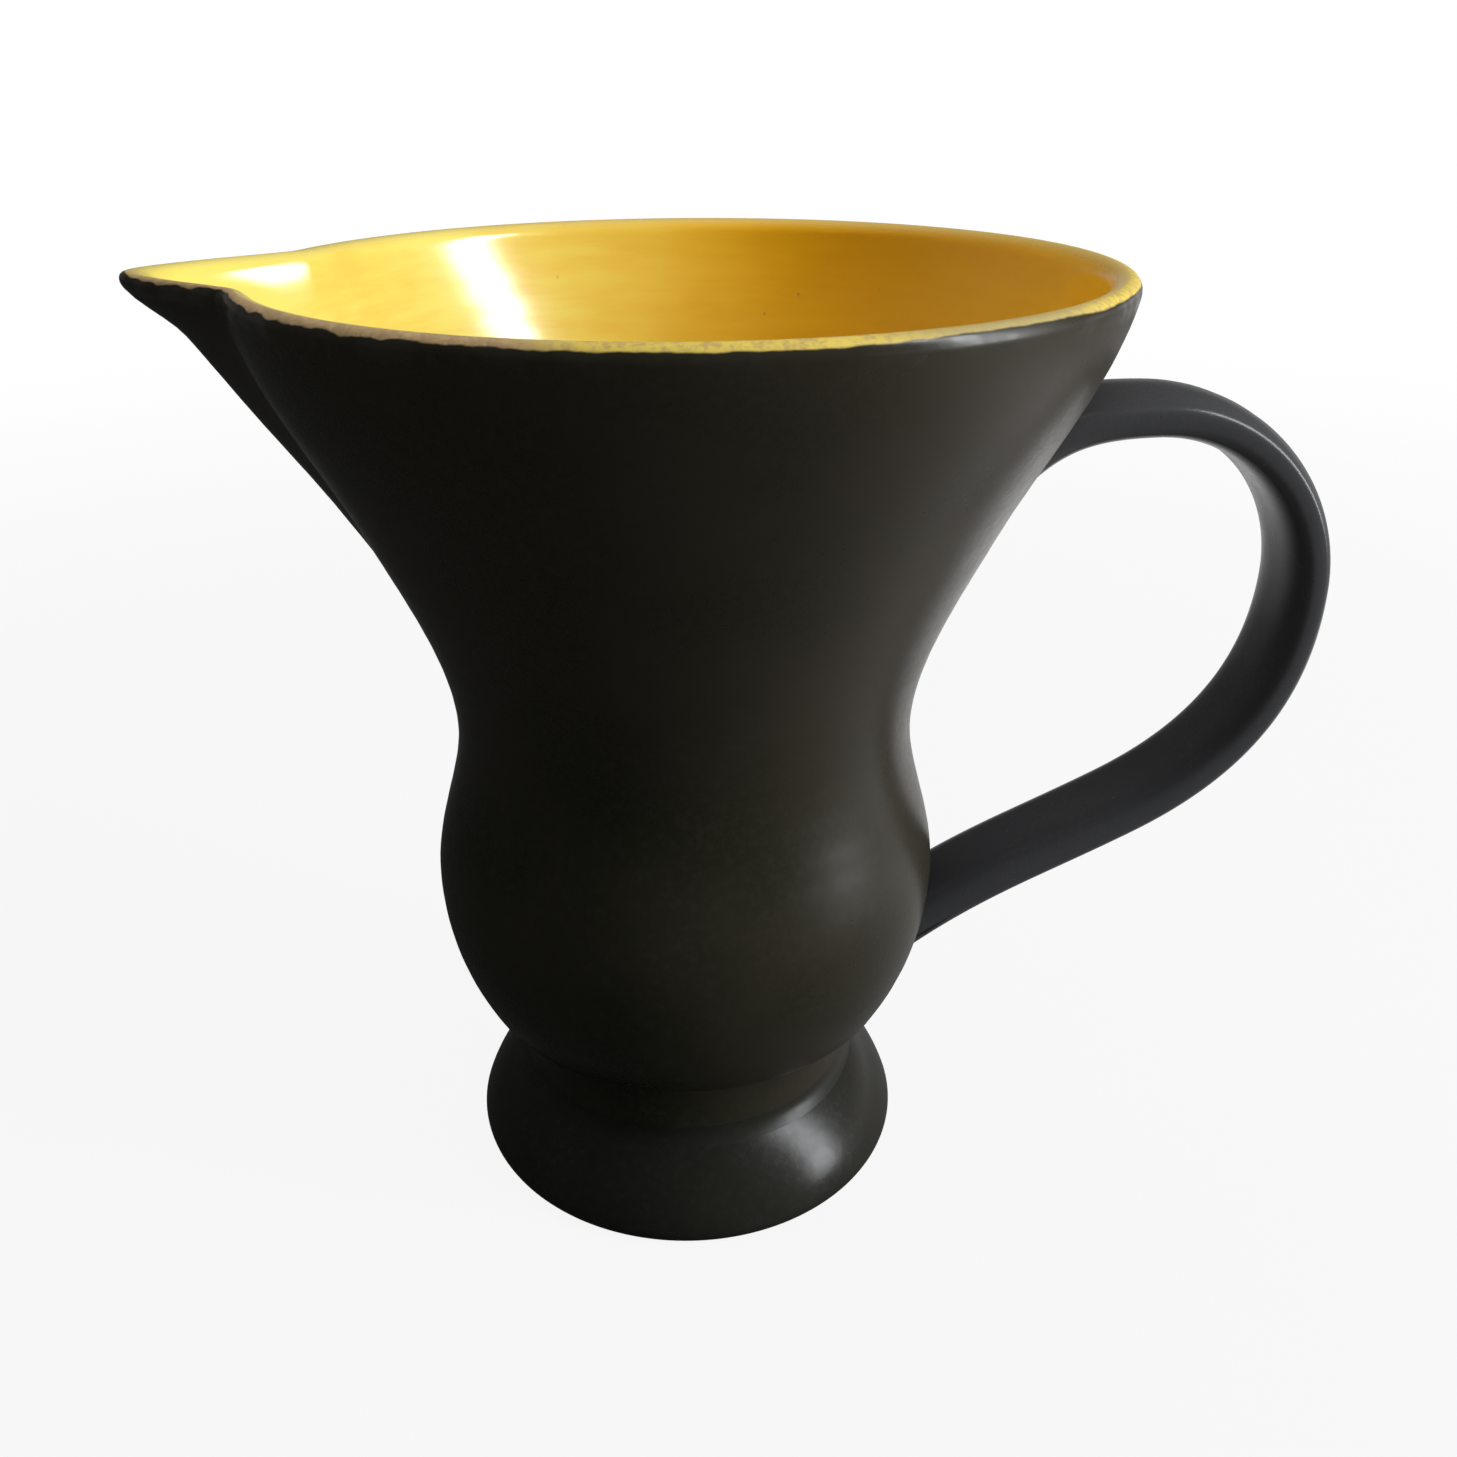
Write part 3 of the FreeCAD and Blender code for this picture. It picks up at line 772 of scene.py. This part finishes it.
outsideReach = skinReach[:len(outside)]
insideReach = skinReach[len(outside) - 1:]
print("skin:", skin.shape[0], "rows by", skin.shape[1], "columns")


# Which cells of the grids belong to which piece
columns = skin.shape[1]
beakCells = np.zeros(columns, bool)
beakCells[beak["roundColumns"] + 1:columns - 1] = True
seamCells = np.zeros(columns, bool)
seamCells[[beak["roundColumns"], columns - 1]] = True


def rowsBetween(grid, low, high):
    # marks the rows of cells that lie between two heights
    middle = (grid[:-1, 0, 2] + grid[1:, 0, 2]) / 2
    return (middle > low) & (middle < high)


def buildWall():
    top = rimHeight + wall["lipHeight"]
    seamFoot = notchFoot - beak["slip"]
    clayBack = clayInside[::-1]                       # from the floor's middle up to the crest
    mouthFront = outside[outside[:, 0, 2] >= waistHeight - sameHeight]
    mouthRows = len(mouthFront)
    mouthBack = clayBack[-mouthRows:]
    mouthNormals = outsideNormals[-mouthRows:]
    mouthReach = outsideReach[-mouthRows:]
    upper = rowsBetween(mouthFront, notchFoot, top)
    strip = rowsBetween(mouthFront, seamFoot, notchFoot)
    beakMask = upper[:, None] & beakCells
    seamMask = (upper[:, None] & seamCells) | (strip[:, None] & (beakCells | seamCells))
    mouthMask = ~(beakMask | seamMask)
    shared = (mouthFront, mouthBack, mouthNormals)
    shellPiece("flaringMouth", *shared, mouthMask, "blackLip", "black_clay", "flared_mouth", mouthReach)
    shellPiece("pouringBeak", *shared, beakMask, "blackLip", "black_clay", "pouring_spout", mouthReach)
    shellPiece("beakSeam", *shared, seamMask, "blackLip", "black_slip", "spout_seam_slip", mouthReach)
    glazeRows = len(inside[inside[:, 0, 2] >= waistHeight - sameHeight])
    coat = (inside[:glazeRows], clayInside[:glazeRows], insideNormals[:glazeRows])
    upper = rowsBetween(inside[:glazeRows], notchFoot, top)
    beakMask = upper[:, None] & beakCells
    reach = insideReach[:glazeRows]
    shellPiece("mouthGlaze", *coat, ~beakMask, "yellowLip", "yellow_glaze", "mouth_glaze", reach)
    shellPiece("beakGlaze", *coat, beakMask, "yellowLip", "yellow_glaze", "spout_glaze", reach)
    bowlCoat = (inside[glazeRows - 1:], clayInside[glazeRows - 1:], insideNormals[glazeRows - 1:])
    allCells = np.ones((len(bowlCoat[0]) - 1, columns), bool)
    shellPiece("bowlGlaze", *bowlCoat, allCells, "yellowBowl", "yellow_glaze", "bowl_glaze", closedRow=-1)
    return clayBack


def buildBowl(clayBack):
    # the underside, then the outside up to the waist, backed by the floor, dish and wall
    bowlRows = len(outsideRows[outsideRows <= waistHeight + sameHeight])
    wallFront = outside[:bowlRows]
    radii = np.linalg.norm(wallFront[0, :, :2], axis=-1)
    directions = wallFront[0, :, :2] / radii[:, None]
    shares = np.linspace(0, 1, wall["underRows"] + 1)[:-1]
    under = scaledRing(directions, shares * radii.mean(), 0 * shares + jointHeight)
    front = np.concatenate([under, wallFront])
    normals = np.concatenate([0 * under - up, outsideNormals[:bowlRows]])
    shoulderRow = int(np.argmin(np.abs(outsideRows - stations[2][0]))) + len(under)
    dishRows = wall["dishRows"] + wall["floorRows"] + 1
    lower = clayBack[:dishRows]
    picks = np.linspace(0, dishRows - 1, shoulderRow + 1)
    low = np.floor(picks).astype(int)
    high = np.minimum(low + 1, dishRows - 1)
    lower = lower[low] + (lower[high] - lower[low]) * (picks - low)[:, None, None]
    wallBack = clayBack[dishRows:dishRows + len(front) - shoulderRow - 1]
    back = np.concatenate([lower, wallBack])
    mask = np.ones((len(front) - 1, columns), bool)
    shellPiece("roundBowl", front, back, normals, mask, "blackWall", "black_clay", "bowl", closedRow=0)


clayBack = buildWall()
buildBowl(clayBack)
print("wall built")


# Foot: a domed ring, open underneath, luted on with a fillet of slip
foot = dict(
    baseRadius=40.0 * mm,
    edgeRadius=41.8 * mm,
    edgeHeight=3.0 * mm,
    edgeRound=0.25,          # the edge's arc passes this share in and up from its corner
    edgeSteps=10,
    domeBulge=1.3 * mm,
    domeSteps=26,
    ringWidth=5.6 * mm,
    topWidth=6.4 * mm,
    innerLow=0.05,           # the slope inside ends at this share of its height
    innerSoft=0.8 * mm,
    innerRound=((0.15, 0.3), (0.6, 0)),
    slip=0.6 * mm,
    columns=192,
    sharpDegrees=38,         # edges that turn more than this are shaded as edges
    wanderShare=0.5,
    fillet=1.5 * mm,
    filletSteps=8,
    filletDrop=3,            # the fillet starts this many steps down the dome
    filletEase=0.02 * mm,
    filletInset=0.5 * mm,
)


def arcThrough(start, middle, end, count):
    # points of the arc through three points of a section
    (ax, ay), (bx, by), (cx, cy) = start, middle, end
    d = 2 * (ax * (by - cy) + bx * (cy - ay) + cx * (ay - by))
    a2, b2, c2 = ax * ax + ay * ay, bx * bx + by * by, cx * cx + cy * cy
    ux = (a2 * (by - cy) + b2 * (cy - ay) + c2 * (ay - by)) / d
    uy = (a2 * (cx - bx) + b2 * (ax - cx) + c2 * (bx - ax)) / d
    first = math.atan2(ay - uy, ax - ux)
    last = math.atan2(cy - uy, cx - ux)
    radius = math.hypot(ax - ux, ay - uy)
    return [(ux + radius * math.cos(first + (last - first) * k / count),
             uy + radius * math.sin(first + (last - first) * k / count)) for k in range(count + 1)]


def turnedPiece(name, section, coat, node, columnCount):
    # a ring turned from a closed section of (radius, height) points
    mesh = bpy.data.meshes.new(name)
    points = []
    for r, z in section:
        for k in range(columnCount):
            angle = 2 * math.pi * k / columnCount
            oval = wall["wander"] * foot["wanderShare"] * math.sin(2 * angle + wall["ovalTurn"])
            stray = 1 + oval / foot["baseRadius"]
            points.append((r * stray * math.cos(angle), r * stray * math.sin(angle), z))
    faces = []
    rows = len(section)
    for i in range(rows):
        for k in range(columnCount):
            n = (k + 1) % columnCount
            below, above = i * columnCount, (i + 1) % rows * columnCount
            faces.append((below + k, below + n, above + n, above + k))
    mesh.from_pydata(points, [], faces)
    mesh.shade_smooth()
    mesh.set_sharp_from_angle(angle=math.radians(foot["sharpDegrees"]))
    addPiece(name, mesh, coat, node)


def buildFoot():
    top = jointHeight - foot["slip"]
    jointRadius = wall["jointRadius"]
    low = Vector((foot["edgeRadius"], foot["edgeHeight"]))
    high = Vector((jointRadius, top))
    chord = high - low
    square = Vector((chord.y, -chord.x)).normalized()
    middle = low + chord / 2 + square * foot["domeBulge"]
    dome = arcThrough(tuple(low), tuple(middle), tuple(high), foot["domeSteps"])
    roll = (foot["edgeRadius"] - foot["baseRadius"]) * foot["edgeRound"]
    rounded = (foot["edgeRadius"] - roll, foot["edgeHeight"] * foot["edgeRound"])
    edge = arcThrough((foot["baseRadius"], 0), rounded, tuple(low), foot["edgeSteps"])
    inner = foot["baseRadius"] - foot["ringWidth"]
    innerTop = jointRadius - foot["topWidth"]
    soft = foot["innerSoft"]
    slopeEnd = innerTop + (inner - innerTop) * (1 - foot["innerLow"])
    section = edge[:-1] + dome
    section += [(innerTop, top), (slopeEnd, top * foot["innerLow"])]
    section += [(inner + soft * right, soft * rise) for right, rise in foot["innerRound"]]
    turnedPiece("footRing", section, "blackFoot", "foot", foot["columns"])
    onDome = dome[-1 - foot["filletDrop"]]
    onNeck = (jointRadius - foot["filletEase"], jointHeight + foot["fillet"])
    corner = (jointRadius + foot["filletEase"], jointHeight - foot["slip"] / 2)
    t = np.linspace(0, 1, foot["filletSteps"] + 1)
    fillet = [(onDome[0] * (1 - k)**2 + 2 * corner[0] * k * (1 - k) + onNeck[0] * k**2,
               onDome[1] * (1 - k)**2 + 2 * corner[1] * k * (1 - k) + onNeck[1] * k**2) for k in t]
    inset = foot["filletInset"]
    section = fillet + [(onNeck[0] - inset, onNeck[1]), (onNeck[0] - inset, onDome[1] - inset)]
    section += [(onDome[0] - inset / 2, onDome[1] - inset)]
    turnedPiece("footSlip", section, "blackSlip", "foot_seam_slip", foot["columns"])


buildFoot()


# Handle: a pulled strap with an arris along each side of its outer face
strap = dict(
    rootWidth=21.5 * mm,
    middleWidth=19.0 * mm,
    tailWidth=16.6 * mm,
    rootThickness=9.4 * mm,
    middleThickness=7.4 * mm,
    tailThickness=10.2 * mm,
    rootRise=7.0 * mm,
    rootClimb=44,
    crownRise=7.9 * mm,
    crownReach=80.6 * mm,
    loopReach=112.0 * mm,
    loopRise=22.0 * mm,
    elbowRise=6.6 * mm,
    elbowReach=83.6 * mm,
    elbowDegrees=29,
    tailDrop=18.0 * mm,
    tailDegrees=38,
    bend=0.39,
    sink=5.0 * mm,
    outerSquare=4.2,      # how square the outer arrises are; 2 is an oval
    innerSquare=3.2,
    crown=1.5 * mm,       # the outer face stands this much higher along its middle
    rows=150,
    around=64,
    overlap=0.7 / 12,     # how far its ends run on inside the wall, in spans
    search=(-1, 1.2, 900),  # the spans and steps in which to find where a line leaves the wall
    fillet=1.2 * mm,
    filletSteps=8,
    filletNudge=0.02,     # a short way along the strap, in spans
    filletLift=0.02 * mm,
    filletDepth=0.5 * mm,
    filletSink=0.1 * mm,
)


def wallRadius(height):
    return smoothThrough(stations, np.asarray(height, float))[0]


def strapStations():
    rootHeight = waistHeight + wall["flareRise"] + strap["rootRise"]
    bellyHeight = jointHeight + wall["bellyRise"]
    tailHeight = bellyHeight - strap["tailDrop"]
    embed = wall["thickness"] / 2
    return [
        (float(wallRadius(rootHeight)) - embed, rootHeight, strap["rootClimb"]),
        (strap["crownReach"], rootHeight + strap["crownRise"], 0),
        (strap["loopReach"], waistHeight + strap["loopRise"], -90),
        (strap["elbowReach"], bellyHeight + strap["elbowRise"], strap["elbowDegrees"] - 180),
        (float(wallRadius(tailHeight)) - embed, tailHeight, strap["tailDegrees"] - 180),
    ]


strapEnds = strapStations()


def strapLine(position):
    # points (x, z) and headings of the centre line, counted in spans from the root
    spans = len(strapEnds) - 1
    onLine = np.clip(position, 0, spans)
    index = np.minimum(onLine.astype(int), spans - 1)
    t = (onLine - index)[..., None]
    ends = np.array(strapEnds)
    first, last = ends[index], ends[index + 1]
    pull = strap["bend"] * np.linalg.norm(last[..., :2] - first[..., :2], axis=-1, keepdims=True)
    ahead = np.stack([np.cos(np.radians(first[..., 2])), np.sin(np.radians(first[..., 2]))], -1)
    behind = np.stack([np.cos(np.radians(last[..., 2])), np.sin(np.radians(last[..., 2]))], -1)
    a, d = first[..., :2], last[..., :2]
    b, c = a + ahead * pull, d - behind * pull
    point = bezierPoint(a, b, c, d, t)
    heading = (b - a) * (1 - t)**2 + (c - b) * 2 * t * (1 - t) + (d - c) * t**2
    sunk = np.stack([strap["sink"] * np.abs(position - onLine), 0 * onLine], -1)
    return point - sunk, unit(heading)


def strapSurface(position, angle):
    # points of the strap at positions along it and angles round its section
    middle, heading = strapLine(position)
    share = np.clip(position / 2, 0, 2)[..., None]

    def eased(root, mid, tail):
        return np.where(share <= 1, root + (mid - root) * share, mid + (tail - mid) * (share - 1))[..., 0]

    halfWidth = eased(strap["rootWidth"], strap["middleWidth"], strap["tailWidth"]) / 2
    halfThick = eased(strap["rootThickness"], strap["middleThickness"], strap["tailThickness"]) / 2
    across, outward = np.cos(angle), np.sin(angle)
    square = np.where(outward > 0, strap["outerSquare"], strap["innerSquare"])
    u = np.sign(across) * np.abs(across)**(2 / square) * halfWidth
    full = np.abs(outward)**(2 / square)
    v = np.sign(outward) * full * halfThick - strap["crown"] * (u / halfWidth)**2 * full * (outward > 0)
    x = middle[..., 0] - heading[..., 1] * v
    z = middle[..., 1] + heading[..., 0] * v
    return np.stack([x, u, z], -1)


def outsideWall(points):
    # how far points lie outside the wall, measured level
    return np.hypot(points[..., 0], points[..., 1]) - wallRadius(points[..., 2])


def wallContour(angles, towardsTail):
    # position along the strap at which each of its lines comes out of the wall
    spans = len(strapEnds) - 1
    steps = np.linspace(*strap["search"])
    steps = spans - steps if towardsTail else steps
    found = []
    for angle in angles:
        clear = outsideWall(strapSurface(steps, np.full(len(steps), angle)))
        inside = np.nonzero(clear < 0)[0]
        k = inside[-1]
        share = -clear[k] / (clear[k + 1] - clear[k])
        found.append(steps[k] + (steps[k + 1] - steps[k]) * share)
    return np.array(found)


def wallNormal(points):
    radius = np.hypot(points[..., 0], points[..., 1])
    slope = smoothThrough(stations, points[..., 2])[1]
    return unit(np.stack([points[..., 0] / radius, points[..., 1] / radius, -slope], -1))


def ontoWall(points):
    radius = np.hypot(points[..., 0], points[..., 1])
    share = wallRadius(points[..., 2]) / radius
    return np.stack([points[..., 0] * share, points[..., 1] * share, points[..., 2]], -1)


def buildStrap():
    angles = np.linspace(0, 2 * math.pi, strap["around"], endpoint=False)
    root = wallContour(angles, False)
    tail = wallContour(angles, True)
    start = root - strap["overlap"]
    end = tail + strap["overlap"]
    steps = np.linspace(0, 1, strap["rows"])[:, None]
    position = start[None, :] + (end - start)[None, :] * steps
    grid = strapSurface(position, np.broadcast_to(angles, position.shape))
    rows, around = grid.shape[:2]
    points = grid.reshape(-1, 3).tolist()
    points += [grid[0].mean(0).tolist(), grid[-1].mean(0).tolist()]
    faces = []
    for i in range(rows - 1):
        for k in range(around):
            n = (k + 1) % around
            faces.append((i * around + k, i * around + n, (i + 1) * around + n, (i + 1) * around + k))
    for k in range(around):
        n = (k + 1) % around
        faces.append((rows * around, n, k))
        faces.append((rows * around + 1, (rows - 1) * around + k, (rows - 1) * around + n))
    mesh = bpy.data.meshes.new("strapHandle")
    mesh.from_pydata(points, [], faces)
    mesh.shade_smooth()
    addPiece("strapHandle", mesh, "blackHandle", "handle")
    filletPiece("rootSlip", angles, root, 1, "handle_root_slip")
    filletPiece("tailSlip", angles, tail, -1, "handle_tail_slip")


def filletPiece(name, angles, contour, way, node):
    # slip drawn into the corner between the strap and the wall, all round its end
    reach = strap["fillet"]
    corner = strapSurface(contour, angles)
    nudge = way * strap["filletNudge"]
    beyond = strapSurface(contour + nudge, angles)
    length = np.linalg.norm(beyond - corner, axis=-1)
    onStrap = strapSurface(contour + nudge * reach / length, angles)
    middle = corner.mean(0)
    normal = wallNormal(corner)
    away = corner - middle
    away = unit(away - normal * (away * normal).sum(-1, keepdims=True))
    onWall = ontoWall(corner + away * reach)
    t = np.linspace(0, 1, strap["filletSteps"] + 1)[:, None, None]
    front = onStrap * (1 - t)**2 + corner * 2 * t * (1 - t) + onWall * t**2
    lift = unit(unit(onStrap - corner) + unit(onWall - corner))
    front = front + lift * strap["filletLift"]
    back = front - lift * strap["filletDepth"] - normal * strap["filletSink"]
    order = slice(None) if way > 0 else slice(None, None, -1)
    grids = [grid[:, order] for grid in (front, back)]
    normals = normalsOf(grids[0])
    if (normals * lift[order][None]).sum() < 0:
        grids = [grid[::-1] for grid in grids]
        normals = normalsOf(grids[0])
    mask = np.ones((strap["filletSteps"], len(angles)), bool)
    shellPiece(name, *grids, normals, mask, "blackSlip", "black_slip", node)


buildStrap()
print("handle built")


# Floor, backdrop and light
studio = dict(
    floorHalf=3.0,
    floorColour=(0.28, 0.28, 0.275),
    whiteNear=0.90,          # how far the floor near the jug is lifted towards white
    whiteFade=(0.25, 0.95),  # and where that rises to full white
    floorDark=0.03,          # what a gloss sees of the floor on its dark and bright side
    floorBright=1.0,
    floorTurn=(-0.04, 0.30),
    floorFar=0.30,           # and how bright its far part is against its near part
    floorDim=(0.30, 0.48),
    brightSide=(0.80, 0.60, 0.0),
    fillSide=(0.95, -0.30, 0.0),
    backSide=(-0.45, 0.89, 0.0),
    skyDark=0.05,
    skyBright=0.40,          # what a gloss sees of the sky on its bright side
    skyTurn=(-0.1, 0.9),
    skyline=(-0.02, 0.25),
    skySide=0.50,
    skyBack=1.10,            # a soft fill so that the form reads from behind too
    fillTurn=(0.0, 0.95),
    skyAbove=0.85,
    aboveTurn=(0.45, 1.0),
    lampAim=0.1,             # the height that the lamps look at
    lamps=[                  # azimuth 0 is the camera's side, 90 the handle's side
        dict(name="windowLeftPane", azimuth=72.2, rise=22, away=1.1, size=(0.23, 1.10), power=14.5),
        dict(name="windowRightPane", azimuth=64.3, rise=22, away=1.1, size=(0.065, 1.10), power=4.5),
    ],
    daylight=(0.94, 0.97, 1.0),
)


def buildFloor():
    mesh = bpy.data.meshes.new("floor")
    half = studio["floorHalf"]
    corners = [(-half, -half, 0), (half, -half, 0), (half, half, 0), (-half, half, 0)]
    mesh.from_pydata(corners, [], [(0, 1, 2, 3)])
    floor = addObject("floor", mesh)
    material, paint = newPaint("paleFloor")
    place = paint.place()
    far = paint.node("ShaderNodeVectorMath", dict(operation="LENGTH"), place, pick=1)
    bright = paint.towards(place, studio["brightSide"])
    seen, glossy = paint.rays()
    fade = far.rise(*studio["whiteFade"])
    share = seen * (studio["whiteNear"] + (1 - studio["whiteNear"]) * fade)
    share = share.atLeast(glossy)
    dark, pale = (studio[key] for key in ("floorDark", "floorBright"))
    dimmed = 1 - (1 - studio["floorFar"]) * far.rise(*studio["floorDim"])
    room = paint.blend(bright.rise(*studio["floorTurn"]) * dimmed, (dark, dark, dark), (pale, pale, pale))
    shown = paint.blend(glossy, (1.0, 1.0, 1.0), room)
    matte = paint.node("ShaderNodeBsdfDiffuse", dict(), Color=(*studio["floorColour"], 1))
    white = paint.node("ShaderNodeEmission", dict(), Color=shown, Strength=1.0)
    mixed = paint.node("ShaderNodeMixShader", dict(), share, matte, white)
    paint.finishWith(mixed)
    mesh.materials.append(material)


def buildSky():
    world = bpy.data.worlds.new("studio")
    world.use_nodes = True
    bpy.context.scene.world = world
    paint = Paint(world.node_tree)
    way = paint.node("ShaderNodeTexCoord", dict(), pick=0)
    bright = paint.towards(way, studio["brightSide"])
    filled = paint.towards(way, studio["fillSide"])
    behind = paint.towards(way, studio["backSide"])
    high = paint.part(way, 2)
    seen, glossy = paint.rays()
    backdrop = studio["skyBright"] * bright.rise(*studio["skyTurn"]) * (1 - high.rise(*studio["skyline"]))
    matte = studio["skyDark"] + studio["skySide"] * filled.rise(*studio["fillTurn"])
    matte = matte + studio["skyAbove"] * high.rise(*studio["aboveTurn"])
    matte = matte + studio["skyBack"] * behind.rise(*studio["fillTurn"])
    strength = (1 - glossy) * matte + glossy * (studio["skyDark"] + backdrop)
    strength = strength.atLeast(seen)
    sky = paint.node("ShaderNodeBackground", dict(), Color=(1, 1, 1, 1), Strength=strength)
    paint.node("ShaderNodeOutputWorld", dict(), sky)


def buildLamps():
    aim = Vector((0, 0, studio["lampAim"]))
    for lamp in studio["lamps"]:
        light = bpy.data.lights.new(lamp["name"], "AREA")
        light.shape = "RECTANGLE"
        light.size, light.size_y = lamp["size"]
        light.energy = lamp["power"]
        light.color = studio["daylight"]
        turn, rise = math.radians(lamp["azimuth"]), math.radians(lamp["rise"])
        way = Vector((math.sin(turn) * math.cos(rise), -math.cos(turn) * math.cos(rise), math.sin(rise)))
        holder = addObject(lamp["name"], light)
        holder.location = aim + way * lamp["away"]
        holder.rotation_euler = (-way).to_track_quat("-Z", "Y").to_euler()
        holder.visible_camera = False


buildFloor()
buildSky()
buildLamps()
bpy.context.scene.view_settings.view_transform = "Standard"
print("studio lit")
